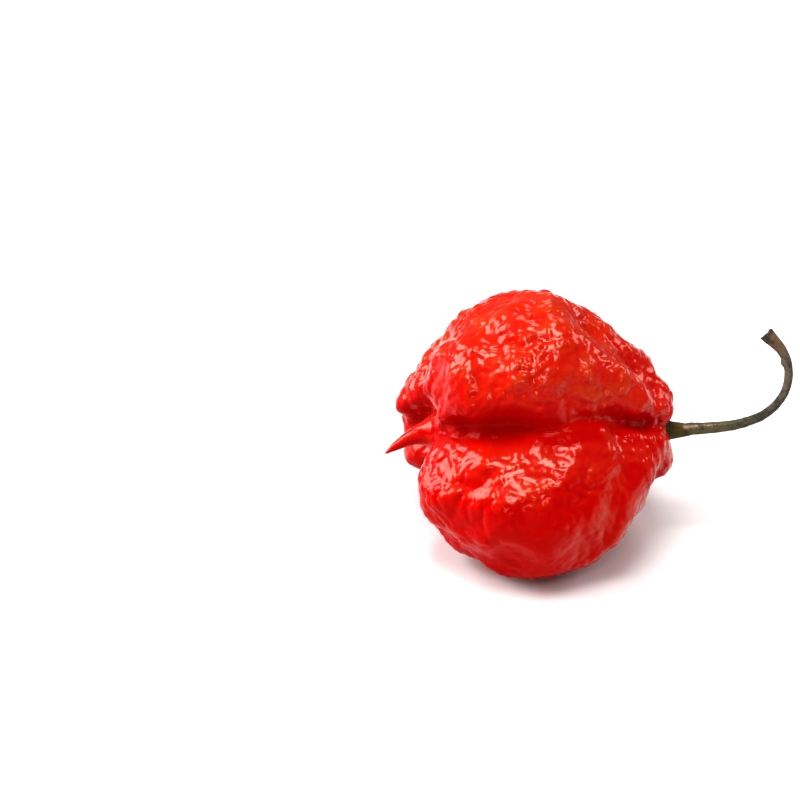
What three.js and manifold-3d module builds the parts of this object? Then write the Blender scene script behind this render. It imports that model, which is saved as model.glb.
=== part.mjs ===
// A Carolina reaper pepper, picked whole and lying on its side with its stem towards +X.
// Millimetres, +Z up. The pod's own axis runs along X. Angles about it are in degrees: 0 points
// to -Y, 90 points up. The origin is on the surface that the pepper lies on, under its middle.

import * as THREE from "three";
import { ImprovedNoise } from "three/addons/math/ImprovedNoise.js";
import { mergeVertices } from "three/addons/utils/BufferGeometryUtils.js";
import Module from "manifold-3d";

// Driving dimensions
const SEAT_X = 18.6; // floor of the stem hollow, where the calyx sits
const SEAT_RADIUS = 4.1;
const REST_DEPTH = 19.9; // from the pod's axis down to the surface it lies on
const CALYX_GAP = 0.1;
const PEDICEL_LEAN = THREE.MathUtils.degToRad(30); // the hooked stem's plane, back from upright

// Mesh fineness
const SECTORS_PER_LOBE = 28;
const POD_RINGS = 58;
const CALYX_SECTORS = 30;
const PEDICEL_SECTORS = 12;
const PEDICEL_RINGS = 34;

// The pod's two meridians, from the seat's edge to the tip of the tail, as pairs of distance
// along the axis and radius: one over the crest of a lobe, one down the furrow beside it.
const CREST = [
  [SEAT_X, SEAT_RADIUS],
  [20.6, 3.7],
  [21.9, 3.5],
  [22.1, 5.6],
  [21.0, 8.0],
  [18.5, 9.8],
  [15.6, 15.0],
  [9.0, 21.5],
  [1.0, 25.1],
  [-7.0, 24.2],
  [-14.0, 20.8],
  [-18.3, 14.5],
  [-18.8, 8.5],
  [-17.2, 4.6],
  [-18.4, 2.9],
  [-20.6, 1.8],
  [-23.4, 1.1],
  [-25.6, 0.35],
];
const FURROW = [
  [SEAT_X, SEAT_RADIUS],
  [19.9, 3.7],
  [21.1, 3.6],
  [21.0, 4.8],
  [19.6, 6.3],
  [17.2, 7.6],
  [14.4, 10.2],
  [8.4, 14.0],
  [1.0, 16.2],
  [-6.0, 15.8],
  [-12.0, 13.6],
  [-15.6, 10.2],
  [-16.8, 7.0],
  [-17.2, 4.6],
  [-18.4, 2.9],
  [-20.6, 1.8],
  [-23.4, 1.1],
  [-25.6, 0.35],
];

// The thin tail at the blossom end, and where and how far it bends down and to the front
const TAIL_TIP_X = -25.9;
const TAIL_BENDS_FROM = -16;
const TAIL_BEND_LENGTH = 10;
const TAIL_BEND = new THREE.Vector3(0, -2.4, -3.6);

// The three furrows: where each one runs, how far it turns about the axis on its way to the
// stem, and how far it is filled in.
const UNDERSIDE = { angle: -88, drift: -4, lift: 0.22 };
const FRONT = { angle: 30, drift: 9, lift: -0.26 };
const BEHIND = { angle: 144, drift: 6, lift: 0.32 };
const DRIFT_FROM = -4; // places along the axis between which the furrows turn
const DRIFT_TO = 10;

// Three lobes. Each lies between two furrows and has its crest between them. It stands out by
// its bulge, runs on past the blossom end by its reach and swells towards the stem by its
// forward. Steep furrow sides have a slope below 1, gentle ones above.
const LOBES = [
  {
    name: "lower",
    from: { ...UNDERSIDE, slope: 1.0 },
    to: { ...FRONT, slope: 1.45 },
    crest: -34,
    bulge: 1.04,
    reach: 1.5,
    forward: 1.0,
  },
  {
    name: "top",
    from: { ...FRONT, slope: 0.5 },
    to: { ...BEHIND, slope: 1.0 },
    crest: 90,
    bulge: 0.8,
    reach: 1.0,
    forward: 0.5,
  },
  {
    name: "back",
    from: { ...BEHIND, slope: 0.9 },
    to: { ...UNDERSIDE, angle: UNDERSIDE.angle + 360, slope: 1.0 },
    crest: 174,
    bulge: 1.0,
    reach: 2.8,
    forward: 0,
  },
];
const LOBE_ROUNDNESS = 0.84; // centre offset over radius of the circle that a lobe's section follows
const FORWARD_FROM = 9; // radii between which a lobe's swelling towards the stem grows
const FORWARD_TO = 20;

// How far the lobes wander round the axis, in radians, and how quickly it changes along the pod,
// across it and up it
const SWAY = { most: 0.16, along: 1 / 14, across: 3.1, up: 1.7 };
const SWAY_FROM = 6; // radii between which the wandering grows
const SWAY_TO = 12;

// Folds pressed into the skin along a line between two places, each a distance along the axis
// and an angle. One with a depth below zero is a raised ridge.
const FOLDS = [
  { start: [8.5, 86], end: [18.5, 78], halfWidth: 3.0, depth: 2.4 },
  { start: [2, 124], end: [6.5, 92], halfWidth: 2.8, depth: 1.6 },
  { start: [21, -74], end: [20, -34], halfWidth: 2.6, depth: 0.9 },
  { start: [17.6, -4], end: [18.2, 16], halfWidth: 2.2, depth: -1.0 },
  { start: [14, -58], end: [10, -66], halfWidth: 3.6, depth: 0.9 },
  { start: [-10, -62], end: [-1, -60], halfWidth: 4.0, depth: 1.2 },
  { start: [-17, -62], end: [-14, -58], halfWidth: 2.6, depth: -1.4 },
  { start: [18, 178], end: [3, 206], halfWidth: 3.0, depth: 2.2 },
  { start: [-8, 70], end: [-18, 112], halfWidth: 2.6, depth: 1.3 },
  { start: [-6, -30], end: [-20, -58], halfWidth: 3.0, depth: 1.6 },
  { start: [-4, 222], end: [-20, 196], halfWidth: 3.2, depth: 1.7 },
  { start: [-13, 30], end: [-4, 31], halfWidth: 1.9, depth: 1.8 },
  { start: [0, 26], end: [9, 30], halfWidth: 1.4, depth: -1.1 },
  { start: [8, 37], end: [20, 39], halfWidth: 1.6, depth: 1.2 },
];
const FOLD_FADE = 3.5; // how far past its ends a fold dies out

// Lumps of the skin, coarse to fine: wavelength and height
const LUMPS = [
  { wavelength: 17, height: 1.5 },
  { wavelength: 8.5, height: 1.2 },
  { wavelength: 4.8, height: 1.0 },
];

// The calyx from its base to the stem: distance from the base, radius, and depth of its teeth as
// a share of the radius
const CALYX_TEETH = 5;
const CALYX_PROFILE = [
  [0, 3.45, 0.06],
  [0.35, 3.65, 0.08],
  [1.1, 2.7, 0.05],
  [1.9, 1.85, 0.02],
  [3.1, 1.45, 0.01],
  [4.5, 1.25, 0],
  [6.0, 1.05, 0],
];

// The pedicel's route in its own plane, as distance along the pod's axis and height over it
const PEDICEL_ROUTE = [
  [SEAT_X + 6.2, 0.2],
  [27.2, 0.25],
  [32.5, 0.9],
  [37.0, 2.6],
  [40.0, 5.6],
  [41.0, 9.3],
  [40.1, 12.8],
  [37.4, 15.8],
];
const PEDICEL_THICKNESS = [
  [0, 1.02],
  [0.25, 0.84],
  [0.5, 0.72],
  [0.75, 0.7],
  [0.9, 0.85],
  [1, 1.1],
];
const PEDICEL_RIBS = 4;
const PEDICEL_RIB_HEIGHT = 0.06; // as a share of the radius
const PEDICEL_HOLLOW = 0.35; // how far the broken end dips in its middle

const perlin = new ImprovedNoise();

/** Smooth noise from -1 to 1 at a point, with features about one wavelength apart. */
function noiseAt(point, wavelength, seed) {
  return perlin.noise(
    point.x / wavelength + seed,
    point.y / wavelength + 2.7 * seed,
    point.z / wavelength + 5.3 * seed,
  );
}

/** A curve through pairs of axial distance and radius. */
function meridian(pairs) {
  return new THREE.CatmullRomCurve3(
    pairs.map(([x, r]) => new THREE.Vector3(x, r, 0)),
    false,
    "centripetal",
  );
}

/** A point at a distance along the pod's axis, at a radius and an angle in radians about it. */
function aroundAxis(x, radius, angle) {
  return new THREE.Vector3(x, -radius * Math.cos(angle), radius * Math.sin(angle));
}

/** Radius of a lobe's circular section, seen from the pod's axis, at an angle off its crest. */
function circleRadius(offCrest) {
  const c = LOBE_ROUNDNESS;
  return c * Math.cos(offCrest) + Math.sqrt(1 - (c * Math.sin(offCrest)) ** 2);
}

/** How far the skin stands from the furrow, 0, to the crest, 1, across a lobe from -1 to 1. */
function lobeRise(across) {
  const halfLobe = Math.PI / 3;
  const low = circleRadius(halfLobe);
  return (circleRadius(across * halfLobe) - low) / (circleRadius(0) - low);
}

/**
 * A closed skin over rings of equally many points, capped by a point at each end. Rings run
 * clockwise seen from the first cap's side.
 */
function closedSkin(firstCap, rings, lastCap) {
  const points = [firstCap, ...rings.flat(), lastCap];
  const around = rings[0].length;
  const at = (ring, k) => 1 + ring * around + (k % around);
  const last = points.length - 1;
  const faces = [];
  for (let k = 0; k < around; k++) {
    faces.push(0, at(0, k + 1), at(0, k));
    for (let ring = 0; ring + 1 < rings.length; ring++) {
      const [a, b] = [at(ring, k), at(ring, k + 1)];
      const [c, d] = [at(ring + 1, k), at(ring + 1, k + 1)];
      faces.push(a, d, c, a, b, d);
    }
    faces.push(last, at(rings.length - 1, k), at(rings.length - 1, k + 1));
  }
  const geometry = new THREE.BufferGeometry().setFromPoints(points);
  geometry.setIndex(faces);
  geometry.computeVertexNormals();
  return geometry;
}

/** How far the tail's middle has bent down and to the front at a place along the axis. */
function tailBend(x) {
  const past = Math.max(0, TAIL_BENDS_FROM - x) / TAIL_BEND_LENGTH;
  return TAIL_BEND.clone().multiplyScalar(past ** 2);
}

/** Angles about the axis, with how far each one stands out. Furrows and crests fall on one. */
function podSectors() {
  return LOBES.flatMap((lobe) =>
    Array.from({ length: SECTORS_PER_LOBE }, (_, k) => {
      const across = (2 * k) / SECTORS_PER_LOBE - 1;
      const furrow = across < 0 ? lobe.from : lobe.to;
      const nearFurrow = Math.abs(across);
      return {
        lobe,
        lift: furrow.lift,
        rise: lobeRise(across) ** furrow.slope,
        degrees: THREE.MathUtils.lerp(lobe.crest, furrow.angle, nearFurrow),
        drift: nearFurrow * furrow.drift,
      };
    }),
  );
}

/** How far round the axis the lobes have wandered at a place. */
function swayAt(x, angle) {
  const [across, up] = [SWAY.across * Math.cos(angle), SWAY.up * Math.sin(angle)];
  return SWAY.most * perlin.noise(SWAY.along * x, across, up);
}

/** The pod's smooth form, as rings of points from the seat's edge to the tip of the tail. */
function smoothPodRings() {
  const crest = meridian(CREST);
  const furrow = meridian(FURROW);
  const sectors = podSectors();
  return Array.from({ length: POD_RINGS + 1 }, (_, i) => {
    const t = crest.getUtoTmapping(i / POD_RINGS);
    const high = crest.getPoint(t);
    const low = furrow.getPoint(t);
    return sectors.map(({ lobe, lift, rise, degrees, drift }) => {
      const ahead = high.x - low.x;
      const share = (scale) => lift + rise * (scale - lift);
      const radius = low.y + (high.y - low.y) * share(lobe.bulge);
      const swell = lobe.forward * rise * smoothRise(radius, FORWARD_FROM, FORWARD_TO);
      const x = low.x + ahead * share(ahead < 0 ? lobe.reach : 1) + swell;
      const turned = drift * smoothRise(x, DRIFT_FROM, DRIFT_TO);
      const angle = THREE.MathUtils.degToRad(degrees + turned);
      const sway = swayAt(x, angle) * smoothRise(radius, SWAY_FROM, SWAY_TO);
      return aroundAxis(x, radius, angle + sway);
    });
  });
}

/** 0 below low, 1 above high, and a smooth rise between them. */
function smoothRise(value, low, high) {
  return THREE.MathUtils.smoothstep(value, low, high);
}

/** The outward normal at ring i, sector k of a grid of points. */
function gridNormal(rings, i, k) {
  const around = rings[0].length;
  const before = rings[Math.max(0, i - 1)][k];
  const after = rings[Math.min(rings.length - 1, i + 1)][k];
  const left = rings[i][(k + around - 1) % around];
  const right = rings[i][(k + 1) % around];
  const along = after.clone().sub(before);
  const across = right.clone().sub(left);
  return across.cross(along).normalize();
}

/** A place on the skin unrolled flat about a fold's start: along the axis, and round it. */
function unrolled(x, angle, radius, [startX, startDegrees]) {
  const turn = angle - THREE.MathUtils.degToRad(startDegrees);
  return new THREE.Vector2(x - startX, radius * Math.atan2(Math.sin(turn), Math.cos(turn)));
}

/** How far the folds press a point of the pod's skin in. */
function foldDepth(point) {
  const angle = Math.atan2(point.z, -point.y);
  const radius = Math.hypot(point.y, point.z);
  return FOLDS.reduce((sum, { start, end, halfWidth, depth }) => {
    const here = unrolled(point.x, angle, radius, start);
    const line = unrolled(end[0], THREE.MathUtils.degToRad(end[1]), radius, start);
    const length = line.length();
    const along = here.dot(line) / length;
    const across = here.cross(line) / length;
    const past = Math.max(0, -along, along - length);
    return sum + depth * Math.exp(-((past / FOLD_FADE) ** 2) - (across / halfWidth) ** 2);
  }, 0);
}

/** The pod with its folds and lumps: one solid, from the seat of the calyx to the tail. */
function podGeometry() {
  const smooth = smoothPodRings();
  const rings = smooth.map((ring, i) =>
    ring.map((point, k) => {
      const fromSeat = i / POD_RINGS;
      const radius = Math.hypot(point.y, point.z);
      const wrinkled = smoothRise(fromSeat, 0.01, 0.12) * smoothRise(radius, 0.3, 7);
      const height = LUMPS.reduce(
        (sum, lump, n) => sum + lump.height * noiseAt(point, lump.wavelength, n + 1),
        -foldDepth(point),
      );
      return point
        .clone()
        .addScaledVector(gridNormal(smooth, i, k), wrinkled * height)
        .add(tailBend(point.x));
    }),
  );
  const seatCentre = new THREE.Vector3(SEAT_X, 0, 0);
  const tailTip = new THREE.Vector3(TAIL_TIP_X, 0, 0).add(tailBend(TAIL_TIP_X));
  return closedSkin(seatCentre, rings, tailTip);
}

/** The calyx: a small toothed cup, flat where it sits in the stem hollow. */
function calyxGeometry() {
  const base = SEAT_X + CALYX_GAP;
  const rings = CALYX_PROFILE.map(([distance, radius, tooth]) =>
    Array.from({ length: CALYX_SECTORS }, (_, k) => {
      const angle = (-2 * Math.PI * k) / CALYX_SECTORS;
      const toothed = radius * (1 + tooth * Math.cos(CALYX_TEETH * angle));
      return aroundAxis(base + distance, toothed, angle);
    }),
  );
  const end = base + CALYX_PROFILE.at(-1)[0];
  return closedSkin(new THREE.Vector3(base, 0, 0), rings, new THREE.Vector3(end, 0, 0));
}

/** The hooked pedicel, ribbed lengthwise, with a flared and slightly hollow broken end. */
function pedicelGeometry() {
  const [aside, upward] = [Math.sin(PEDICEL_LEAN), Math.cos(PEDICEL_LEAN)];
  const curve = new THREE.CatmullRomCurve3(
    PEDICEL_ROUTE.map(([x, rise]) => new THREE.Vector3(x, rise * aside, rise * upward)),
    false,
    "centripetal",
  );
  const thickness = new THREE.SplineCurve(
    PEDICEL_THICKNESS.map(([share, radius]) => new THREE.Vector2(share, radius)),
  );
  const frames = curve.computeFrenetFrames(PEDICEL_RINGS, false);
  const rings = Array.from({ length: PEDICEL_RINGS + 1 }, (_, i) => {
    const centre = curve.getPointAt(i / PEDICEL_RINGS);
    const radius = thickness.getPoint(i / PEDICEL_RINGS).y;
    return Array.from({ length: PEDICEL_SECTORS }, (_, k) => {
      const angle = (2 * Math.PI * k) / PEDICEL_SECTORS;
      const rib = 1 + PEDICEL_RIB_HEIGHT * Math.cos(PEDICEL_RIBS * angle);
      return centre
        .clone()
        .addScaledVector(frames.normals[i], radius * rib * Math.cos(angle))
        .addScaledVector(frames.binormals[i], radius * rib * Math.sin(angle));
    });
  });
  const inward = frames.tangents[PEDICEL_RINGS].clone().negate();
  const end = curve.getPointAt(1).addScaledVector(inward, PEDICEL_HOLLOW);
  return closedSkin(curve.getPointAt(0), rings, end);
}

const wasm = await Module();
wasm.setup();

/** A closed geometry as a solid that can be cut. */
function solidOf(geometry) {
  const bare = new THREE.BufferGeometry()
    .setAttribute("position", geometry.getAttribute("position"))
    .setIndex(geometry.index);
  const merged = mergeVertices(bare, 1e-4);
  const mesh = new wasm.Mesh({
    numProp: 3,
    vertProperties: merged.attributes.position.array,
    triVerts: new Uint32Array(merged.index.array),
  });
  return new wasm.Manifold(mesh);
}

/** A solid back as a three.js geometry. */
function geometryOf(solid) {
  const { vertProperties, triVerts } = solid.getMesh();
  const geometry = new THREE.BufferGeometry();
  geometry.setAttribute("position", new THREE.BufferAttribute(vertProperties, 3));
  geometry.setIndex(new THREE.BufferAttribute(triVerts, 1));
  geometry.computeVertexNormals();
  return geometry;
}

/** The geometry with what lies below the resting surface cut off flat. */
function restedFlat(geometry) {
  const size = 100;
  const slab = new THREE.BoxGeometry(size, size, size).translate(0, 0, -REST_DEPTH - size / 2);
  return geometryOf(solidOf(geometry).subtract(solidOf(slab)));
}

const ripeSkin = new THREE.MeshStandardMaterial({ color: 0xd4150a, roughness: 0.25 });
const calyxGreen = new THREE.MeshStandardMaterial({ color: 0x4d6424, roughness: 0.6 });
const stemOlive = new THREE.MeshStandardMaterial({ color: 0x5a5a35, roughness: 0.75 });

const pepper = new THREE.Group();

/** Adds one named piece to the pepper. */
function addPiece(name, geometry, material) {
  const piece = new THREE.Mesh(geometry, material);
  piece.name = name;
  pepper.add(piece);
}

addPiece("pod", restedFlat(podGeometry()), ripeSkin);
addPiece("calyx", calyxGeometry(), calyxGreen);
addPiece("pedicel", pedicelGeometry(), stemOlive);

// The origin goes to the middle of the box that the pepper fills, on the surface it lies on.
const box = new THREE.Box3().setFromObject(pepper);
const middle = box.getCenter(new THREE.Vector3());
pepper.position.set(-middle.x, -middle.y, -box.min.z);

export default pepper;
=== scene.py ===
"""A ripe Carolina reaper pepper lying on its side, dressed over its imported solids.

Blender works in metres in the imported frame: +X runs along the pod from its tail to its stem and
+Z is up. The shapes here are worked out in millimetres about the pod's own axis, then placed.
The angle of a place about that axis is in degrees: 0 points to -Y and 90 points up.
"""

import logging
import math
from collections.abc import Sequence
from dataclasses import dataclass, field
from enum import Enum

import bmesh
import bpy
import numpy as np
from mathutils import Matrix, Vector


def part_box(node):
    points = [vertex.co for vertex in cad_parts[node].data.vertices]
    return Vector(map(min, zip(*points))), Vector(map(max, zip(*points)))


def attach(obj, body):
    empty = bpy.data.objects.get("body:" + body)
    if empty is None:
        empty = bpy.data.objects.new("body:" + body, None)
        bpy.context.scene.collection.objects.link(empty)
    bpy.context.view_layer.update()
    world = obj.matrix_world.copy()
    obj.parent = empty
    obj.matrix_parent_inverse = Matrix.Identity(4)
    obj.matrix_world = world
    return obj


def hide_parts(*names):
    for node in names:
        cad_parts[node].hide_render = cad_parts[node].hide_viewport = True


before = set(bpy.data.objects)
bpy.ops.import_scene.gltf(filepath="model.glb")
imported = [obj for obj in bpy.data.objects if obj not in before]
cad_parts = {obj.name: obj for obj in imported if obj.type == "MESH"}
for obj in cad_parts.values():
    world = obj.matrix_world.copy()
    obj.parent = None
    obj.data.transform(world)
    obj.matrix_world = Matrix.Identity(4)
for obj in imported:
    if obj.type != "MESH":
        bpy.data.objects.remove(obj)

log = logging.getLogger("pepper")

MM = 0.001
CALYX_FLOOR = 18.7  # the calyx starts this far along the pod's axis, in millimetres
TABLE_ROWS = 256  # rows in a noise's tables, a power of two
NOISE_LIFT = 1.6  # brings smooth noise to about -1 to 1
MIX_INPUTS = (6, 7)  # a Mix node's two colours, which share their names with its other sockets
MIX_OUTPUT = 2

Array = np.ndarray
Socket = bpy.types.NodeSocket
Colour = tuple[float, float, float]


@dataclass(frozen=True)
class Span:
    """A stretch over which something comes in smoothly, from none at its start to all at its end."""

    start: float
    end: float

    def rise(self, values: Array) -> Array:
        """Returns 0 before the span, 1 after it and a smooth rise within it."""
        share = np.clip((values - self.start) / (self.end - self.start), 0.0, 1.0)
        return share * share * (3.0 - 2.0 * share)


@dataclass(frozen=True)
class Band:
    """A band that is strongest in its middle and has died out at about twice its width."""

    middle: float
    width: float

    def at(self, values: Array) -> Array:
        """Returns 1 in the middle of the band, falling to 0 on both sides of it."""
        return np.exp(-(((values - self.middle) / self.width) ** 2))


@dataclass(frozen=True)
class Waves:
    """Even waves round a ring: how many, how high, and how far they are turned in their own cycle."""

    count: float
    height: float
    turn: float = 0.0

    def at(self, angle: Array) -> Array:
        """Returns the height of the waves at each angle, which is in radians."""
        return self.height * np.cos(self.count * angle + self.turn)


class Seed(Enum):
    """The random seed of each noise."""

    WARP_X = 11
    WARP_Y = 12
    WARP_Z = 13
    PATCHES = 14
    COARSE = 15
    MIDDLE = 16
    DOMES = 17
    FINE = 21
    FINEST = 22
    SWAY = 41
    WRINKLES = 42
    LIP = 43
    RIPPLE = 51
    LUMPS = 61
    FIBRES = 62
    RAGGED = 63


class Noise:
    """Seeded smooth noise and seeded cells in space."""

    def __init__(self, seed: Seed) -> None:
        """Draws the tables.

        Args:
            seed: the random seed.
        """
        draw = np.random.default_rng(seed.value)
        self.order = np.tile(draw.permutation(TABLE_ROWS), 3)
        slopes = draw.normal(size=(TABLE_ROWS, 3))
        self.slopes = slopes / np.linalg.norm(slopes, axis=1, keepdims=True)
        self.spots = draw.random((TABLE_ROWS, 3))

    def _pick(self, cell: Array) -> Array:
        """Returns the table row of each whole-numbered cell."""
        i, j, k = (cell & (TABLE_ROWS - 1)).T
        return self.order[self.order[self.order[i] + j] + k]

    def smooth(self, points: Array) -> Array:
        """Works out smooth noise with features one unit apart.

        Args:
            points: an n by 3 array.

        Returns:
            n values, mostly from -1 to 1.
        """
        cell = np.floor(points).astype(np.int64)
        inside = points - cell
        ease = inside**3 * (inside * (inside * 6.0 - 15.0) + 10.0)
        total = np.zeros(len(points))
        for corner in np.ndindex(2, 2, 2):
            step = np.array(corner)
            slope = self.slopes[self._pick(cell + step)]
            weight = np.prod(np.where(step, ease, 1.0 - ease), axis=1)
            total += weight * np.einsum("ij,ij->i", slope, inside - step)
        return total * NOISE_LIFT

    def creased(self, points: Array, softness: float = 0.0) -> Array:
        """Returns round bumps from 0 to about 1 with creases between them, sharp or softer."""
        return np.hypot(self.smooth(points), softness) - softness

    def cells(self, points: Array) -> tuple[Array, Array]:
        """Measures how far each point is from the two nearest of one random spot a unit cell.

        Args:
            points: an n by 3 array.

        Returns:
            The nearest and the second nearest distance.
        """
        cell = np.floor(points).astype(np.int64)
        first = np.full(len(points), np.inf)
        second = first.copy()
        for offset in np.ndindex(3, 3, 3):
            near = cell + np.array(offset) - 1
            away = np.linalg.norm(near + self.spots[self._pick(near)] - points, axis=1)
            second = np.minimum(second, np.maximum(first, away))
            first = np.minimum(first, away)
        return first, second


@dataclass(frozen=True)
class Bumps:
    """Round bumps of one size and height, in millimetres, with sharp or softer creases between."""

    seed: Seed
    size: float
    height: float
    softness: float = 0.0

    def at(self, points: Array) -> Array:
        """Returns the height of the bumps at each point."""
        return self.height * Noise(self.seed).creased(points / self.size, self.softness)


@dataclass(frozen=True)
class PodAxis:
    """The pod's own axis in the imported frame, in millimetres."""

    origin: Vector

    @classmethod
    def found(cls) -> "PodAxis":
        """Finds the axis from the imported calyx, which is centred on it.

        Returns:
            The axis.
        """
        low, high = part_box("calyx")
        middle = (low + high) / 2
        return cls(Vector((low.x / MM - CALYX_FLOOR, middle.y / MM, middle.z / MM)))

    def local(self, metres: Array) -> Array:
        """Returns packed points, in metres, as millimetres from the axis's origin."""
        return metres / MM - np.array(self.origin)

    def placed(self, millimetres: Array) -> Array:
        """Returns points about the axis, in millimetres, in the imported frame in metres."""
        return (millimetres + np.array(self.origin)) * MM


@dataclass(frozen=True)
class Grain:
    """How a material's noise looks: the size of its features, in millimetres, and its finer layers."""

    size: float
    layers: float = 3.0
    layer_strength: float = 0.55


@dataclass(frozen=True)
class Spread:
    """A smooth change from one range of values to another."""

    low: float
    high: float
    first: float
    last: float


class Shader:
    """A procedural material under construction round one Principled shader."""

    def __init__(self, name: str) -> None:
        """Starts the material.

        Args:
            name: the material's name.
        """
        self.material = bpy.data.materials.new(name)
        self.material.use_nodes = True
        self.tree = self.material.node_tree
        self.principled = self.tree.nodes["Principled BSDF"]
        self.place = self.tree.nodes.new("ShaderNodeTexCoord").outputs["Object"]

    def wire(self, source: Socket | float | Colour, target: Socket) -> None:
        """Links a socket to a target, or sets a plain value on it.

        Args:
            source: the socket or the value.
            target: the socket that takes it.
        """
        if isinstance(source, bpy.types.NodeSocket):
            self.tree.links.new(source, target)
        elif isinstance(source, tuple):
            target.default_value = (*source, 1.0)[: len(target.default_value)]
        else:
            target.default_value = source

    def attribute(self, name: str, output: str = "Fac") -> Socket:
        """Reads a mesh attribute.

        Args:
            name: the attribute's name.
            output: "Fac" for its value or "Vector" for its vector.

        Returns:
            What it holds.
        """
        node = self.tree.nodes.new("ShaderNodeAttribute")
        node.attribute_name = name
        return node.outputs[output]

    def stretched(self, scale: tuple[float, float, float]) -> Socket:
        """Stretches the object's coordinates.

        Args:
            scale: what each axis is scaled by.

        Returns:
            The stretched coordinates.
        """
        node = self.tree.nodes.new("ShaderNodeMapping")
        node.inputs["Scale"].default_value = scale
        self.wire(self.place, node.inputs["Vector"])
        return node.outputs["Vector"]

    def noise(self, grain: Grain, place: Socket | None = None) -> Socket:
        """Adds smooth noise.

        Args:
            grain: how it looks.
            place: the coordinates it is read at, or None for the object's own.

        Returns:
            Its value, from 0 to 1.
        """
        node = self.tree.nodes.new("ShaderNodeTexNoise")
        node.inputs["Scale"].default_value = 1.0 / (grain.size * MM)
        node.inputs["Detail"].default_value = grain.layers
        node.inputs["Roughness"].default_value = grain.layer_strength
        self.wire(self.place if place is None else place, node.inputs["Vector"])
        return node.outputs["Fac"]

    def unit_noise(self, place: Socket) -> Socket:
        """Adds plain smooth noise with features one unit apart.

        Args:
            place: the coordinates it is read at.

        Returns:
            Its value, from 0 to 1.
        """
        node = self.tree.nodes.new("ShaderNodeTexNoise")
        node.inputs["Scale"].default_value = 1.0
        node.inputs["Detail"].default_value = 0.0
        self.wire(place, node.inputs["Vector"])
        return node.outputs["Fac"]

    def ramp(self, factor: Socket, stops: Sequence[tuple[float, Colour]]) -> Socket:
        """Reads a colour from a row of colours.

        Args:
            factor: the position that is read.
            stops: the position and colour of each stop.

        Returns:
            The colour.
        """
        node = self.tree.nodes.new("ShaderNodeValToRGB")
        elements = node.color_ramp.elements
        while len(elements) < len(stops):
            elements.new(1.0)
        for element, (position, colour) in zip(elements, stops):
            element.position = position
            element.color = (*colour, 1.0)
        self.wire(factor, node.inputs["Fac"])
        return node.outputs["Color"]

    def spread(self, value: Socket, change: Spread) -> Socket:
        """Maps a value smoothly from one range to another.

        Args:
            value: what is mapped.
            change: the two ranges.

        Returns:
            The mapped value.
        """
        node = self.tree.nodes.new("ShaderNodeMapRange")
        node.interpolation_type = "SMOOTHSTEP"
        node.inputs["From Min"].default_value = change.low
        node.inputs["From Max"].default_value = change.high
        node.inputs["To Min"].default_value = change.first
        node.inputs["To Max"].default_value = change.last
        self.wire(value, node.inputs["Value"])
        return node.outputs["Result"]

    def maths(self, operation: str, a: Socket | float, b: Socket | float = 0.0) -> Socket:
        """Works out a sum, a product or another operation.

        Args:
            operation: Blender's name of the operation.
            a: its first value.
            b: its second value, where it takes two.

        Returns:
            The result.
        """
        node = self.tree.nodes.new("ShaderNodeMath")
        node.operation = operation
        self.wire(a, node.inputs[0])
        self.wire(b, node.inputs[1])
        return node.outputs["Value"]

    def mix(self, factor: Socket | float, a: Socket | Colour, b: Socket | Colour) -> Socket:
        """Mixes two colours.

        Args:
            factor: how much of the second colour there is, 0 to 1.
            a: the first colour.
            b: the second colour.

        Returns:
            The colour between them.
        """
        node = self.tree.nodes.new("ShaderNodeMix")
        node.data_type = "RGBA"
        self.wire(factor, node.inputs["Factor"])
        for colour, number in zip((a, b), MIX_INPUTS):
            self.wire(colour, node.inputs[number])
        return node.outputs[MIX_OUTPUT]

    def bump(self, height: Socket, millimetres: float, under: Socket | None = None) -> Socket:
        """Tilts the surface by a height.

        Args:
            height: the height, 0 to 1.
            millimetres: how high 1 is.
            under: the normal of an earlier height that this one comes on top of.

        Returns:
            The tilted normal.
        """
        node = self.tree.nodes.new("ShaderNodeBump")
        node.inputs["Strength"].default_value = 1.0
        node.inputs["Distance"].default_value = millimetres * MM
        self.wire(height, node.inputs["Height"])
        if under is not None:
            self.wire(under, node.inputs["Normal"])
        return node.outputs["Normal"]

    def finish(self, **inputs: Socket | float | Colour) -> bpy.types.Material:
        """Sets the shader's sockets, whose names are given with _ for a space.

        Args:
            inputs: the value or link of each socket.

        Returns:
            The material.
        """
        for name, value in inputs.items():
            self.wire(value, self.principled.inputs[name.replace("_", " ")])
        return self.material


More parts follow.
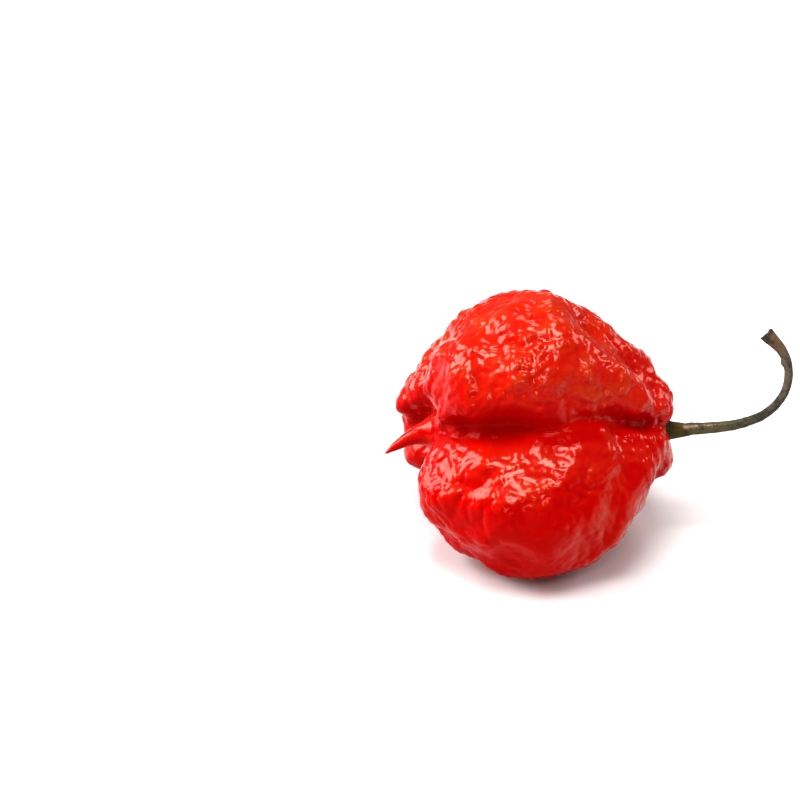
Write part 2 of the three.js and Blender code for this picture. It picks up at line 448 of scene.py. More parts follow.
@dataclass(frozen=True)
class RipeSkin:
    """Glossy red skin with light and shade painted into its colour: deeper in its creases and underneath
    with painted shade, lighter and warmer on its bumps and on top with painted light.

    It reads how high each place stands, "rise", and how much it faces the light, "lit", and paints both
    into its colour; its shine is also turned down where it faces away from the light.
    """

    # The colours run from the deepest red in painted shade to the warmest colour in painted light; random
    # patches move the tone a little along them too.
    shaded_deep_red: Colour = (0.40, 0.0006, 0.0004)
    red: Colour = (0.45, 0.0030, 0.0010)
    bright: Colour = (0.47, 0.0150, 0.0030)
    lit_orange: Colour = (0.44, 0.0380, 0.0070)
    stops: tuple[float, float, float, float] = (0.12, 0.40, 0.70, 0.95)
    patches: Grain = Grain(9.0, 2.0)
    patch_tone: Spread = Spread(0.3, 0.7, -0.15, 0.15)
    rise_tone: float = 0.5
    lit_tone: Spread = Spread(-0.25, 0.9, 0.0, 0.5)
    pores: Grain = Grain(0.6, 2.0, 0.5)
    pore_height: float = 0.014
    grain: Grain = Grain(1.5, 1.0, 0.5)
    grain_height: float = 0.07
    ridge_height: float = 0.38
    shine: Spread = Spread(-0.05, 0.60, 0.06, 0.34)
    # Painted warm light: the reflections are tinted warm, though the lamps are white.
    warm_light_tint: Colour = (1.0, 0.88, 0.74)
    refraction: float = 1.45
    rubbed: Grain = Grain(3.0, 3.0)
    roughness: Spread = Spread(0.3, 0.75, 0.14, 0.26)
    coat_share: float = 0.35
    coat_roughness: float = 0.06
    glow: float = 0.08
    glow_reach: Colour = (1.0, 0.12, 0.04)
    glow_depth: float = 1.5

    def made(self) -> bpy.types.Material:
        """Makes the material.

        Returns:
            The finish as a material.
        """
        skin = Shader("glossy_red_skin")
        patches = skin.noise(self.patches)
        rise = skin.attribute("rise")
        lit = skin.attribute("lit")
        # Painted light and shade: the tone is lower in creases and where the skin faces away from the
        # light, higher on bumps and where it faces the light; the patches add tone that differs at
        # random.
        tone = skin.maths("ADD", rise, skin.spread(patches, self.patch_tone))
        tone = skin.maths("MULTIPLY", tone, self.rise_tone)
        tone = skin.maths("ADD", tone, skin.spread(lit, self.lit_tone))
        colours = (self.shaded_deep_red, self.red, self.bright, self.lit_orange)
        colour = skin.ramp(tone, list(zip(self.stops, colours)))
        pores = skin.noise(self.pores)
        normal = skin.bump(skin.noise(self.grain), self.grain_height)
        normal = skin.bump(pores, self.pore_height, normal)
        ridges = skin.unit_noise(skin.attribute("ridge_place", "Vector"))
        ridges = skin.maths("ABSOLUTE", skin.maths("SUBTRACT", ridges, 0.5))
        ridges = skin.maths("MULTIPLY", ridges, skin.attribute("ridged"))
        normal = skin.bump(ridges, self.ridge_height, normal)
        shine = skin.spread(lit, self.shine)
        return skin.finish(
            Base_Color=colour,
            Roughness=skin.spread(skin.noise(self.rubbed), self.roughness),
            IOR=self.refraction,
            Specular_IOR_Level=shine,
            Specular_Tint=self.warm_light_tint,
            Subsurface_Weight=self.glow,
            Subsurface_Radius=self.glow_reach,
            Subsurface_Scale=self.glow_depth * MM,
            Coat_Weight=skin.maths("MULTIPLY", shine, self.coat_share),
            Coat_Roughness=self.coat_roughness,
            Coat_Normal=normal,
            Normal=normal,
        )


@dataclass(frozen=True)
class StemMarks:
    """The marks that the calyx and the stem share: tan cork and dark blotches."""

    cork: Colour = (0.42, 0.26, 0.16)
    blotch: Colour = (0.026, 0.022, 0.012)
    mottle: Grain = Grain(1.6, 4.0, 0.6)
    blotches: Spread = Spread(0.48, 0.64, 0.0, 0.75)


@dataclass(frozen=True)
class CalyxGreen(StemMarks):
    """Waxy dark green, paler and streaked towards the stem."""

    dark: Colour = (0.054, 0.040, 0.004)
    olive: Colour = (0.084, 0.056, 0.007)
    ending: Colour = (0.094, 0.074, 0.030)
    stops: tuple[float, float, float] = (0.3, 0.78, 0.93)
    streak: Colour = (0.15, 0.12, 0.05)
    lines: Grain = Grain(0.35, 2.0, 0.5)
    line_stretch: tuple[float, float, float] = (0.15, 1.0, 1.0)
    streaks: Spread = Spread(0.52, 0.75, 0.0, 0.5)
    blotched: Spread = Spread(0.75, 0.95, 0.0, 1.0)
    roughness: Spread = Spread(0.3, 0.7, 0.42, 0.6)
    shine: float = 0.25
    line_height: float = 0.06

    def made(self) -> bpy.types.Material:
        """Makes the material.

        Returns:
            The finish as a material.
        """
        green = Shader("waxy_calyx")
        along = green.attribute("along")
        colours = (self.dark, self.olive, self.ending)
        colour = green.ramp(along, list(zip(self.stops, colours)))
        lines = green.noise(self.lines, green.stretched(self.line_stretch))
        colour = green.mix(green.spread(lines, self.streaks), colour, self.streak)
        mottle = green.spread(green.noise(self.mottle), self.blotches)
        mottle = green.maths("MULTIPLY", mottle, green.spread(along, self.blotched))
        colour = green.mix(mottle, colour, self.blotch)
        colour = green.mix(green.attribute("cork"), colour, self.cork)
        return green.finish(
            Base_Color=colour,
            Roughness=green.spread(lines, self.roughness),
            Specular_IOR_Level=self.shine,
            Normal=green.bump(lines, self.line_height),
        )


@dataclass(frozen=True)
class StemOlive(StemMarks):
    """A drying green-brown stem with tan corky marks and a dark broken end."""

    along: tuple[tuple[float, Colour], ...] = (
        (0.00, (0.094, 0.074, 0.030)),
        (0.22, (0.100, 0.080, 0.035)),
        (0.36, (0.062, 0.053, 0.029)),
        (0.50, (0.060, 0.051, 0.030)),
        (0.68, (0.088, 0.072, 0.046)),
        (0.80, (0.108, 0.086, 0.060)),
        (0.90, (0.130, 0.080, 0.044)),
        (0.97, (0.145, 0.084, 0.044)),
        (1.00, (0.045, 0.024, 0.022)),
    )
    fibre: Colour = (0.20, 0.17, 0.10)
    fibres: Grain = Grain(0.5, 4.0, 0.6)
    pale_fibres: Spread = Spread(0.52, 0.72, 0.0, 0.35)
    corky_fibres: Spread = Spread(0.44, 0.58, 0.0, 1.0)
    roughness: Spread = Spread(0.3, 0.7, 0.48, 0.7)
    fibre_height: float = 0.10

    def made(self) -> bpy.types.Material:
        """Makes the material.

        Returns:
            The finish as a material.
        """
        stem = Shader("drying_stem")
        colour = stem.ramp(stem.attribute("along"), self.along)
        fibres = stem.noise(self.fibres)
        mottle = stem.noise(self.mottle)
        colour = stem.mix(stem.spread(mottle, self.blotches), colour, self.blotch)
        colour = stem.mix(stem.spread(fibres, self.pale_fibres), colour, self.fibre)
        marks = stem.maths("MULTIPLY", stem.attribute("cork"), stem.spread(fibres, self.corky_fibres))
        colour = stem.mix(marks, colour, self.cork)
        return stem.finish(
            Base_Color=colour,
            Roughness=stem.spread(mottle, self.roughness),
            Normal=stem.bump(fibres, self.fibre_height),
        )


@dataclass(frozen=True)
class PaleFloor:
    """Smooth white board."""

    dull: Colour = (0.76, 0.76, 0.76)
    white: Colour = (0.78, 0.78, 0.78)
    stops: tuple[float, float] = (0.3, 0.7)
    clouds: Grain = Grain(60.0, 2.0)
    roughness: float = 0.7

    def made(self) -> bpy.types.Material:
        """Makes the material.

        Returns:
            The finish as a material.
        """
        board = Shader("pale_floor")
        colours = (self.dull, self.white)
        colour = board.ramp(board.noise(self.clouds), list(zip(self.stops, colours)))
        return board.finish(Base_Color=colour, Roughness=self.roughness)


class Slot(Enum):
    """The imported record's material slots."""

    SKIN = "ripe_skin"
    CALYX = "calyx_green"
    STEM = "stem_olive"


def dressed(piece: bpy.types.Object, finish: bpy.types.Material, node: str) -> bpy.types.Object:
    """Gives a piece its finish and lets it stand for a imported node.

    Args:
        piece: the piece.
        finish: its material.
        node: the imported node.

    Returns:
        The piece.
    """
    piece.data.materials.clear()
    piece.data.materials.append(finish)
    piece.data.shade_smooth()
    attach(piece, "root")
    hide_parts(node)
    return piece


def linked(name: str, mesh: bpy.types.Mesh) -> bpy.types.Object:
    """Puts a mesh in the scene.

    Args:
        name: the new object's name.
        mesh: its mesh.

    Returns:
        The object.
    """
    piece = bpy.data.objects.new(name, mesh)
    bpy.context.scene.collection.objects.link(piece)
    return piece


def tube_mesh(name: str, rings: Array) -> bpy.types.Mesh:
    """Closes rings of points into one skin, with a fan at each end.

    Args:
        name: the mesh's name.
        rings: an array of rings by points by 3, in metres, the first and last rings small.

    Returns:
        The mesh. Its last two vertices are the middles of the first and the last ring.
    """
    count, around, _ = rings.shape
    middles = [rings[0].mean(0), rings[-1].mean(0)]
    points = np.concatenate([rings.reshape(-1, 3), middles])
    first = count * around
    last = first + 1
    faces = []
    for here in range(0, (count - 1) * around, around):
        for k in range(around):
            after = (k + 1) % around
            faces.append((here + k, here + after, here + around + after, here + around + k))
    end = (count - 1) * around
    for k in range(around):
        after = (k + 1) % around
        faces.append((after, k, first))
        faces.append((end + k, end + after, last))
    mesh = bpy.data.meshes.new(name)
    mesh.from_pydata(points.tolist(), [], faces)
    mesh.validate()
    work = bmesh.new()
    work.from_mesh(mesh)
    bmesh.ops.recalc_face_normals(work, faces=work.faces)
    work.to_mesh(mesh)
    work.free()
    return mesh


def vertex_places(mesh: bpy.types.Mesh) -> Array:
    """Reads a mesh's vertices.

    Args:
        mesh: the mesh.

    Returns:
        Their places as an n by 3 array.
    """
    flat = np.empty(len(mesh.vertices) * 3)
    mesh.vertices.foreach_get("co", flat)
    return flat.reshape(-1, 3)


def vertex_normals(mesh: bpy.types.Mesh) -> Array:
    """Reads which way a mesh faces at its vertices.

    Args:
        mesh: the mesh.

    Returns:
        The directions as an n by 3 array.
    """
    flat = np.empty(len(mesh.vertices) * 3)
    mesh.vertex_normals.foreach_get("vector", flat)
    return flat.reshape(-1, 3)


def move_vertices(mesh: bpy.types.Mesh, places: Array) -> None:
    """Puts a mesh's vertices at new places."""
    mesh.vertices.foreach_set("co", places.astype(np.float32).ravel())
    mesh.update()


def store(mesh: bpy.types.Mesh, name: str, values: Array) -> None:
    """Keeps values on a mesh for its material to read.

    Args:
        mesh: the mesh.
        name: the attribute's name.
        values: one value, or one vector, a vertex.
    """
    kind, key = ("FLOAT", "value") if values.ndim == 1 else ("FLOAT_VECTOR", "vector")
    layer = mesh.attributes.new(name, kind, "POINT")
    layer.data.foreach_set(key, values.astype(np.float32).ravel())


def angles(points: Array) -> Array:
    """Returns the angle of each point, or direction, about the axis, in degrees."""
    return np.degrees(np.arctan2(points[:, 2], -points[:, 1]))


CORK_STREAK = Band(58.0, 16.0)  # the side of the stem and calyx that is corky, in degrees


@dataclass
class Pod:
    """The ripe pod, its skin pebbled, pitted and wrinkled, in millimetres and degrees.

    Places along the pod are measured from the axis's origin, towards the stem.
    """

    axis: PodAxis
    finish: RipeSkin = field(default_factory=RipeSkin)

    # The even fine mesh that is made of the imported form
    weld: float = 1e-3
    round_levels: int = 2
    mesh_size: float = 0.325
    quick_mesh_size: float = 0.5
    soft_passes: int = 4

    # The seat of the calyx and the flats that the pod lies on stay as packed, and the tail nearly so
    seat_radius: Span = Span(3.9, 5.4)
    seat_start: Span = Span(15.9, 17.4)
    tail: Span = Span(-19.5, -16.5)
    tail_radius: Span = Span(4.0, 8.0)
    tail_share: float = 0.25
    off_floor: Span = Span(0.0, 1.6)

    # The smooth front furrow, which climbs a little towards the neck
    furrow_angle: float = 33.0
    furrow_climb: float = 5.0
    furrow_climbs: Span = Span(-4.0, 10.0)
    furrow_below: float = 15.0
    furrow_above: float = 5.0
    furrow_smoothness: float = 0.85

    # The brow over the furrow and its ragged lip
    brow: Band = Band(52.0, 10.0)
    brow_start: Span = Span(-9.0, -3.0)
    lip: Band = Band(46.0, 13.0)
    lip_start: Span = Span(-6.0, 6.0)
    lip_height: float = 0.40
    lip_softness: float = 0.06
    lip_gap: float = 1.5
    lip_length: float = 9.0
    lip_sway: float = 0.8
    lip_sway_size: float = 6.0

    # The close ridges and the wrinkles round the neck, which fade out on the top lobe
    neck: Span = Span(6.0, 13.0)
    neck_slope: float = 0.72
    top_lobe: Span = Span(35.0, 60.0)
    ridges_lost: float = 0.7
    wrinkles_lost: float = 0.75
    ridge_gap: float = 1.4
    ridge_length: float = 4.5
    ridge_sway: float = 1.2
    ridge_sway_size: float = 5.0
    wrinkle_height: float = 0.34
    wrinkle_closeness: float = 0.7

    # The pebbles: how they are bent and patched, their sizes, and where they are lower or higher
    warp_seeds: tuple[Seed, Seed, Seed] = (Seed.WARP_X, Seed.WARP_Y, Seed.WARP_Z)
    warp_size: float = 4.5
    warp: float = 1.1
    patch_size: float = 11.0
    patch: Span = Span(-0.5, 0.4)
    patch_least: float = 0.65
    coarse: Bumps = Bumps(Seed.COARSE, 3.6, 0.66, 0.12)
    middle: Bumps = Bumps(Seed.MIDDLE, 2.0, 0.22, 0.14)
    dome_size: float = 1.9
    dome_height: float = 0.20
    dome_warp: float = 0.5
    dome_edge: Span = Span(0.0, 0.55)
    underside: Span = Span(0.0, 11.0)
    underside_lost: float = 0.5
    shoulder: Span = Span(7.0, 17.0)
    shoulder_below: Span = Span(-4.0, 2.0)
    shoulder_lost: float = 0.5
    brow_extra: float = 0.6

    # The finest bumps
    fine: Bumps = Bumps(Seed.FINE, 1.2, 0.06, 0.14)
    finest_size: float = 0.7
    finest_height: float = 0.015

    # What the finish reads to paint light and shade into the skin's colour: how high the skin stands,
    # less near the axis, and how light falls on it
    height_range: Span = Span(-0.6, 0.6)
    outer: Span = Span(9.0, 16.0)
    inner_share: float = 0.35
    brow_light: float = 0.3
    furrow_shade: float = 1.15
    front_shade: float = 0.35
    front: Span = Span(4.0, 14.0)
    front_below: Span = Span(-4.0, 3.0)
    stem_side: Span = Span(0.2, 0.7)
    stem_side_light: float = 0.6

    def _remeshed(self) -> bpy.types.Mesh:
        """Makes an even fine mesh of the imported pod's form.

        Returns:
            The mesh.
        """
        coarse = linked("pod_form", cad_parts["pod"].data.copy())
        work = bmesh.new()
        work.from_mesh(coarse.data)
        bmesh.ops.remove_doubles(work, verts=work.verts, dist=self.weld * MM)
        work.to_mesh(coarse.data)
        work.free()
        rounder = coarse.modifiers.new("rounder", "SUBSURF")
        rounder.levels = self.round_levels
        even = coarse.modifiers.new("even", "REMESH")
        even.mode = "VOXEL"
        even.voxel_size = self.mesh_size * MM
        soft = coarse.modifiers.new("soft", "SMOOTH")
        soft.iterations = self.soft_passes
        graph = bpy.context.evaluated_depsgraph_get()
        mesh = bpy.data.meshes.new_from_object(coarse.evaluated_get(graph))
        bpy.data.objects.remove(coarse)
        mesh.name = "pod_skin"
        return mesh

    def _kept(self, points: Array) -> Array:
        """Works out how far the skin may move.

        Args:
            points: places about the axis.

        Returns:
            The share of its height that it gets at each of them, 0 on the seat and on the flats.
        """
        x, y, z = points.T
        radius = np.hypot(y, z)
        off_seat = np.maximum(self.seat_radius.rise(radius), 1.0 - self.seat_start.rise(x))
        off_tail = self.tail_share + (1.0 - self.tail_share) * self.tail.rise(x)
        off_tail = np.maximum(off_tail, self.tail_radius.rise(radius))
        return off_seat * off_tail * self.off_floor.rise(z + self.axis.origin.z)

    def _in_furrow(self, points: Array) -> Array:
        """Works out where the smooth bottom of the front furrow is.

        Args:
            points: places about the axis.

        Returns:
            How smooth the skin is at each of them, 0 to 1, which also sets the painted shade in the
            furrow.
        """
        climb = self.furrow_climb * self.furrow_climbs.rise(points[:, 0])
        off = angles(points) - self.furrow_angle - climb
        width = np.where(off < 0.0, self.furrow_below, self.furrow_above)
        return self.furrow_smoothness * np.exp(-((off / width) ** 2))

    def _on_brow(self, points: Array) -> Array:
        """Returns how far each point is on the brow of skin that overhangs the front furrow, where light
        is painted too.
        """
        return self.brow.at(angles(points)) * self.brow_start.rise(points[:, 0])

    def _ridges(self, points: Array) -> tuple[Array, Array]:
        """Works out the close ridges that run round the neck.

        Args:
            points: places about the axis.

        Returns:
            The place that each point reads its ridge at, and how ridged it is, 0 to 1.
        """
        x, y, z = points.T
        along = self.neck_slope * (x - np.hypot(y, z)) / self.ridge_gap
        sway = self.ridge_sway * Noise(Seed.SWAY).smooth(points / self.ridge_sway_size)
        place = np.stack([along + sway, y / self.ridge_length, z / self.ridge_length], axis=1)
        lower = 1.0 - self.ridges_lost * self.top_lobe.rise(angles(points))
        return place, lower * self.neck.rise(x)

    def _wrinkles(self, points: Array) -> Array:
        """Works out the wrinkles that run round the neck and along the lip over the furrow.

        Args:
            points: places about the axis.

        Returns:
            The height at each of them.
        """
        x, y, z = points.T
        place, neck = self._ridges(points)
        sway = self.lip_sway * Noise(Seed.SWAY).smooth(points / self.lip_sway_size)
        across = np.stack([x / self.lip_gap + sway, y / self.lip_length, z / self.lip_length], axis=1)
        lower = 1.0 - self.wrinkles_lost * self.top_lobe.rise(angles(points))
        rings = neck * lower * Noise(Seed.WRINKLES).creased(self.wrinkle_closeness * place)
        lip = self.lip.at(angles(points)) * self.lip_start.rise(x)
        lip *= Noise(Seed.LIP).creased(across, self.lip_softness)
        return self.wrinkle_height * rings + self.lip_height * lip

    def _pebbles(self, points: Array) -> Array:
        """Works out the rounded pebbling of the skin with its creases and pits.

        Args:
            points: places about the axis.

        Returns:
            The height at each of them.
        """
        warp = np.stack([Noise(seed).smooth(points / self.warp_size) for seed in self.warp_seeds], axis=1)
        bent = points + self.warp * warp
        patch = self.patch.rise(Noise(Seed.PATCHES).smooth(points / self.patch_size))
        x, _, z = points.T
        amount = self.patch_least + (1.0 - self.patch_least) * patch
        amount *= 1.0 - self.underside_lost * self.underside.rise(-z)
        amount *= 1.0 - self.shoulder_lost * self.shoulder.rise(x) * self.shoulder_below.rise(-z)
        amount *= 1.0 + self.brow_extra * self._on_brow(points)
        bumps = self.coarse.at(bent) + self.middle.at(bent)
        first, second = Noise(Seed.DOMES).cells((points + self.dome_warp * warp) / self.dome_size)
        return amount * (bumps + self.dome_height * self.dome_edge.rise(second - first))

    def _grain(self, points: Array) -> Array:
        """Returns the height of the finest bumps at each point."""
        fine = self.fine.at(points)
        return fine + self.finest_height * Noise(Seed.FINEST).smooth(points / self.finest_size)

    def _mark(self, mesh: bpy.types.Mesh, start: Array, height: Array) -> None:
        """Keeps on the mesh what its finish reads to paint light and shade into the skin's colour.

        Args:
            mesh: the pod's skin, in its final shape.
            start: where its vertices were about the axis before the skin was raised.
            height: how far each was raised.
        """
        _, y, z = start.T
        # Painted shade and light: rise darkens the creases and lightens the bumps, less near the axis;
        # lit lightens places that face up, the brow and the side towards the stem, and darkens the furrow
        # and the front underneath.
        tone = self.inner_share + (1.0 - self.inner_share) * self.outer.rise(np.hypot(y, z))
        place, ridged = self._ridges(start)
        facing = vertex_normals(mesh)
        upward = facing[:, 2] + self.brow_light * self._on_brow(start)
        upward -= self.furrow_shade * self._in_furrow(start)
        upward -= self.front_shade * self.front_below.rise(-z) * self.front.rise(-y)
        sideways = self.stem_side_light * self.stem_side.rise(facing[:, 0])
        store(mesh, "rise", tone * self.height_range.rise(height))
        store(mesh, "ridge_place", place)
        store(mesh, "ridged", ridged * self._kept(start))
        store(mesh, "lit", np.maximum(upward, sideways))

    def build(self) -> bpy.types.Object:
        """Makes the pod and dresses it.

        Returns:
            The pod.
        """
        mesh = self._remeshed()
        start = self.axis.local(vertex_places(mesh))
        kept = self._kept(start)
        height = (1.0 - self._in_furrow(start)) * self._pebbles(start) + self._wrinkles(start)
        height -= height.mean()
        points = start + (kept * height)[:, None] * vertex_normals(mesh)
        move_vertices(mesh, self.axis.placed(points))
        grain = self._grain(points)
        points += (kept * (grain - grain.mean()))[:, None] * vertex_normals(mesh)
        points[:, 2] = np.maximum(points[:, 2], -self.axis.origin.z)
        move_vertices(mesh, self.axis.placed(points))
        self._mark(mesh, start, kept * height + grain)
        return dressed(linked("pod_skin", mesh), self.finish.made(), "pod")


@dataclass
class Calyx:
    """The small toothed cup in the stem hollow, in millimetres."""

    axis: PodAxis
    finish: CalyxGreen = field(default_factory=CalyxGreen)

    # Place along the axis, radius, and how deep the teeth are there as a share of the radius
    stations: tuple[tuple[float, float, float], ...] = (
        (18.72, 0.4, 0.0),
        (18.72, 3.4, 0.10),
        (18.95, 3.65, 0.12),
        (19.6, 3.0, 0.08),
        (20.3, 2.15, 0.04),
        (21.1, 1.68, 0.03),
        (22.2, 1.42, 0.03),
        (23.4, 1.22, 0.03),
        (24.4, 1.03, 0.02),
        (25.2, 0.80, 0.01),
        (25.2, 0.30, 0.0),
    )
    teeth: Waves = Waves(5, 1.0)
    ribs_between: Waves = Waves(10, 0.25, 1.0)
    ripple: float = 0.05
    ripple_closeness: tuple[float, float, float] = (0.35, 1.6, 1.6)
    rippled: Span = Span(18.8, 19.6)
    length: Span = Span(CALYX_FLOOR, 25.2)
    corky: Span = Span(23.2, 23.9)
    around: int = 100
    rings: int = 110

    def build(self) -> bpy.types.Object:
        """Makes the calyx and dresses it.

        Returns:
            The calyx.
        """
        table = np.array(self.stations)
        walked = np.concatenate([[0.0], np.cumsum(np.hypot(*np.diff(table[:, :2], axis=0).T))])
        steps = np.linspace(0.0, walked[-1], self.rings)
        x, radius, depth = (np.interp(steps, walked, column)[:, None] for column in table.T)
        angle = np.linspace(0.0, 2.0 * math.pi, self.around, endpoint=False)[None, :]
        radius = radius * (1.0 + depth * (self.teeth.at(angle) + self.ribs_between.at(angle)))
        rings = np.stack([x + 0.0 * angle, -radius * np.cos(angle), radius * np.sin(angle)], axis=2)
        cup = rings.reshape(-1, 3)
        ripple = self.ripple * Noise(Seed.RIPPLE).smooth(cup * np.array(self.ripple_closeness))
        cup[:, 1:] *= 1.0 + (ripple * self.rippled.rise(cup[:, 0]))[:, None]
        mesh = tube_mesh("calyx_cup", self.axis.placed(cup).reshape(self.rings, self.around, 3))
        places = self.axis.local(vertex_places(mesh))
        store(mesh, "along", self.length.rise(places[:, 0]))
        store(mesh, "cork", self.corky.rise(places[:, 0]) * CORK_STREAK.at(angles(places)))
        return dressed(linked("calyx_cup", mesh), self.finish.made(), "calyx")


@dataclass
class Pedicel:
    """The hooked stem with its ribs, its knot and its flared broken end, in millimetres.

    Places along the stem are shares of its length, and angles round it are in radians.
    """

    axis: PodAxis
    finish: StemOlive = field(default_factory=StemOlive)

    # Place along the axis, and height in the plane of the hook, which leans back
    route: tuple[tuple[float, float], ...] = (
        (24.2, 0.15),
        (24.8, 0.2),
        (27.2, 0.25),
        (32.5, 0.9),
        (37.0, 2.6),
        (40.0, 5.6),
        (41.0, 9.3),
        (40.1, 12.8),
        (37.4, 15.8),
    )
    lean: float = math.radians(30.0)

    # Place along the stem, and radius
    thickness: tuple[tuple[float, float], ...] = (
        (0.00, 0.90),
        (0.03, 1.02),
        (0.10, 0.95),
        (0.25, 0.84),
        (0.50, 0.72),
        (0.75, 0.70),
        (0.88, 0.82),
        (0.96, 1.02),
        (1.00, 1.10),
    )
    ribs: Waves = Waves(5, 0.05)
    rib_twist: float = 1.0
    flats: Waves = Waves(3, 0.03, -1.0)
    knot_place: Band = Band(0.80, 0.022)
    knot_side: Band = Band(0.0, 0.35)
    knot_height: float = 0.30
    flare: Span = Span(0.93, 1.0)
    flare_squash: Waves = Waves(2, 0.12, 0.6)
    lump_size: float = 0.9
    lump_height: float = 0.05
    fibres: Bumps = Bumps(Seed.FIBRES, 0.45, 0.035)
    rim: Span = Span(0.95, 1.0)
    rim_waves: tuple[Waves, Waves] = (Waves(2, 0.08), Waves(5, 0.08, 1.0))

    # Share of the end's radius, and how far the end stands out there
    end_rings: tuple[tuple[float, float], ...] = (
        (0.97, 0.10),
        (0.88, 0.16),
        (0.72, 0.05),
        (0.55, -0.20),
        (0.35, -0.34),
        (0.12, -0.38),
    )
    ragged_height: float = 0.16
    ragged_closeness: float = 1.9
    green: Span = Span(0.14, 0.19)
    around: int = 60
    rings: int = 320
    route_steps: int = 60

    def _route(self) -> tuple[Array, Array]:
        """Works out the stem's middle line, a smooth curve through the points of its route.

        Returns:
            Its points about the axis, evenly spaced, and how far along each one is, 0 to 1.
        """
        x, height = np.array(self.route).T
        knots = np.stack([x, height * math.sin(self.lean), height * math.cos(self.lean)], axis=1)
        before = np.vstack([2 * knots[0] - knots[1], knots, 2 * knots[-1] - knots[-2]])
        t = np.linspace(0.0, 1.0, self.route_steps, endpoint=False)[:, None]
        parts = []
        for p0, p1, p2, p3 in zip(before, before[1:], before[2:], before[3:]):
            slope = p2 - p0
            bend = 2.0 * p0 - 5.0 * p1 + 4.0 * p2 - p3
            turn = 3.0 * p1 - p0 - 3.0 * p2 + p3
            parts.append(0.5 * (2.0 * p1 + slope * t + bend * t**2 + turn * t**3))
        line = np.vstack([*parts, knots[-1:]])
        walked = np.concatenate([[0.0], np.cumsum(np.linalg.norm(np.diff(line, axis=0), axis=1))])
        share = np.linspace(0.0, 1.0, self.rings)
        even = np.stack([np.interp(share * walked[-1], walked, column) for column in line.T], axis=1)
        return even, share

    def _radius(self, share: Array, angle: Array) -> Array:
        """Works out the stem's radius, with its ribs, its knot and its flared end.

        Args:
            share: how far along the stem each ring is, as a column.
            angle: each point's angle round the stem, as a row.

        Returns:
            The radius at every ring and angle.
        """
        ribs = self.ribs.at(angle + self.rib_twist * share) + self.flats.at(angle)
        radius = np.interp(share, *np.array(self.thickness).T) * (1.0 + ribs)
        knot = self.knot_place.at(share) * self.knot_side.at(1.0 - np.cos(angle))
        radius = radius + self.knot_height * knot
        return radius * (1.0 + self.flare.rise(share) * self.flare_squash.at(angle))

    def _outward(self, ahead: Array, angle: Array) -> Array:
        """Works out which way is outward from the stem's middle line.

        Args:
            ahead: the stem's direction at each ring.
            angle: each point's angle round the stem, as a row.

        Returns:
            The outward direction at every ring and angle.
        """
        across = np.array([0.0, -math.cos(self.lean), math.sin(self.lean)])
        side = np.tile(across, (self.rings, 1))
        inward = np.cross(side, ahead)
        return np.cos(angle)[..., None] * inward[:, None] + np.sin(angle)[..., None] * side[:, None]

    def _broken_end(self, edge: Array, centre: Array, ahead: Array) -> Array:
        """Makes the rings that close the stem's flared end, hollow in its middle.

        Args:
            edge: the last ring of the stem's side.
            centre: the middle of that ring.
            ahead: the stem's direction there.

        Returns:
            The rings.
        """
        rings = []
        for inset, depth in self.end_rings:
            ring = centre + (edge - centre) * inset
            ragged = self.ragged_height * Noise(Seed.RAGGED).smooth(ring * self.ragged_closeness)[:, None]
            rings.append(ring + (depth + ragged) * ahead)
        return np.array(rings)

    def _mark(self, mesh: bpy.types.Mesh, share: Array, out: Array) -> None:
        """Keeps on the mesh what its finish reads.

        Args:
            mesh: the stem.
            share: how far along each ring of its side is.
            out: the outward direction at each point of its side.
        """
        sides = self.rings * self.around
        along = np.ones(len(mesh.vertices))
        along[:sides] = np.repeat(share, self.around)
        along[-2] = 0.0  # the middle of the first ring
        cork = np.zeros(len(mesh.vertices))
        cork[:sides] = CORK_STREAK.at(angles(out.reshape(-1, 3))) * (1.0 - self.green.rise(along[:sides]))
        store(mesh, "along", along)
        store(mesh, "cork", cork)

    def build(self) -> bpy.types.Object:
        """Makes the stem and dresses it.

        Returns:
            The stem.
        """
        middle, share = self._route()
        ahead = np.gradient(middle, axis=0)
        ahead /= np.linalg.norm(ahead, axis=1, keepdims=True)
        angle = np.linspace(0.0, 2.0 * math.pi, self.around, endpoint=False)[None, :]
        out = self._outward(ahead, angle)
        rings = middle[:, None] + self._radius(share[:, None], angle)[..., None] * out
        side = rings.reshape(-1, 3)
        rough = self.lump_height * Noise(Seed.LUMPS).smooth(side / self.lump_size) + self.fibres.at(side)
        rings = rings + rough.reshape(self.rings, self.around, 1) * out
        rim = sum(waves.at(angle) for waves in self.rim_waves)
        rings = rings + (self.rim.rise(share)[:, None] * rim)[..., None] * ahead[:, None]
        rings = np.concatenate([rings, self._broken_end(rings[-1], middle[-1], ahead[-1])])
        mesh = tube_mesh("pedicel_stem", self.axis.placed(rings))
        self._mark(mesh, share, out)
        return dressed(linked("pedicel_stem", mesh), self.finish.made(), "pedicel")


class Side(Enum):
    """Where each studio light stands, as a direction from the pepper."""

    LEFT = (-0.88, 0.20, 0.56)
    OVERHEAD = (-0.05, -0.26, 1.0)
    HIGH = (0.12, -0.66, 0.75)
    RIGHT = (0.90, 0.35, 0.55)
    BEHIND = (0.15, 0.62, 0.80)
    FRONT = (-0.05, -1.0, 0.42)


@dataclass(frozen=True)
class Lamp:
    """A square soft light that faces the pepper. Its distance and width are in metres."""

    side: Side
    distance: float
    width: float
    watts: float

    def hang(self, centre: Vector) -> None:
        """Hangs the light.

        Args:
            centre: what it faces, in metres.
        """
        panel = bpy.data.lights.new(f"{self.side.name.lower()}_light", "AREA")
        panel.shape = "SQUARE"
        panel.size = self.width
        panel.energy = self.watts
        lamp = bpy.data.objects.new(panel.name, panel)
        bpy.context.scene.collection.objects.link(lamp)
        direction = Vector(self.side.value).normalized()
        lamp.location = centre + direction * self.distance
        lamp.rotation_euler = direction.to_track_quat("Z", "Y").to_euler()


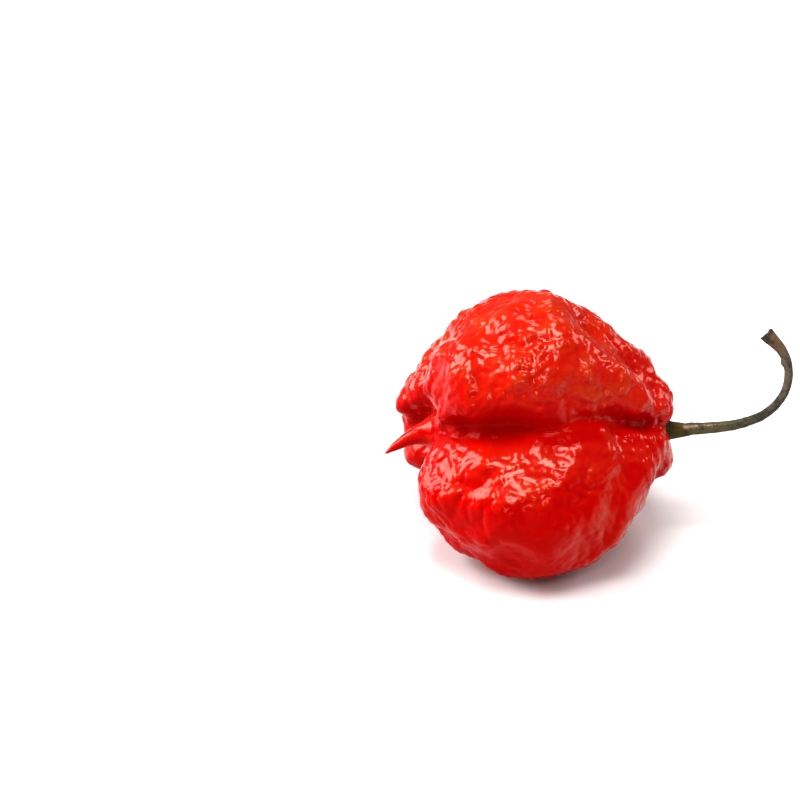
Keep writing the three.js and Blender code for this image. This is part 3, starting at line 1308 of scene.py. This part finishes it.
@dataclass
class Studio:
    """A pale floor, soft lights and the camera.

    The camera's distance, and how far its target is beside the pepper and above it in the
    picture, are in millimetres. The floor's width is in metres.
    """

    axis: PodAxis
    elevation: float = math.radians(30.0)
    distance: float = 495.0
    aside: float = -23.1
    above: float = 4.95
    lens: float = 135.0
    sensor: float = 36.0
    floor: float = 4.0
    lamps: tuple[Lamp, ...] = (
        Lamp(Side.LEFT, 0.55, 0.38, 3.3),
        Lamp(Side.OVERHEAD, 0.62, 0.26, 2.4),
        Lamp(Side.HIGH, 0.62, 0.14, 0.4),
        Lamp(Side.RIGHT, 0.70, 0.24, 0.9),
        Lamp(Side.BEHIND, 0.60, 0.22, 0.6),
        Lamp(Side.FRONT, 0.90, 0.15, 0.55),
    )
    room_light: float = 0.22

    def _lay_floor(self) -> None:
        """Lays the floor under the pepper."""
        half = self.floor / 2.0
        mesh = bpy.data.meshes.new("floor")
        corners = [(-half, -half, 0.0), (half, -half, 0.0), (half, half, 0.0), (-half, half, 0.0)]
        mesh.from_pydata(corners, [], [(0, 1, 2, 3)])
        mesh.materials.append(PaleFloor().made())
        linked("floor", mesh)

    def _light_room(self) -> None:
        """Gives the room an even pale light."""
        world = bpy.data.worlds.new("studio")
        world.use_nodes = True
        background = world.node_tree.nodes["Background"]
        background.inputs["Color"].default_value = (1.0, 1.0, 1.0, 1.0)
        background.inputs["Strength"].default_value = self.room_light
        bpy.context.scene.world = world
        bpy.context.scene.view_settings.view_transform = "Standard"
        bpy.context.scene.view_settings.look = "High Contrast"

    def _set_camera(self) -> None:
        """Sets the camera at the photograph's viewing angle."""
        back = Vector((0.0, -math.cos(self.elevation), math.sin(self.elevation)))
        up = Vector((0.0, math.sin(self.elevation), math.cos(self.elevation)))
        target = self.axis.origin + Vector((self.aside, 0.0, 0.0)) + self.above * up
        data = bpy.data.cameras.new("camera")
        data.lens = self.lens
        data.sensor_width = self.sensor
        camera = bpy.data.objects.new("camera", data)
        bpy.context.scene.collection.objects.link(camera)
        camera.location = (target + self.distance * back) * MM
        camera.rotation_euler = back.to_track_quat("Z", "Y").to_euler()
        bpy.context.scene.camera = camera

    def build(self) -> None:
        """Lays the floor, hangs the lights and sets the camera."""
        self._lay_floor()
        for lamp in self.lamps:
            lamp.hang(self.axis.origin * MM)
        self._light_room()
        self._set_camera()


def main() -> None:
    """Builds the studio and the pepper, and logs the face count of each piece."""
    logging.basicConfig(level=logging.INFO, format="%(name)s: %(message)s")
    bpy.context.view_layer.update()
    axis = PodAxis.found()
    Studio(axis).build()
    for part in (Pod(axis), Calyx(axis), Pedicel(axis)):
        piece = part.build()
        log.info("%s: %d faces", piece.name, len(piece.data.polygons))


if __name__ == "__main__":
    main()
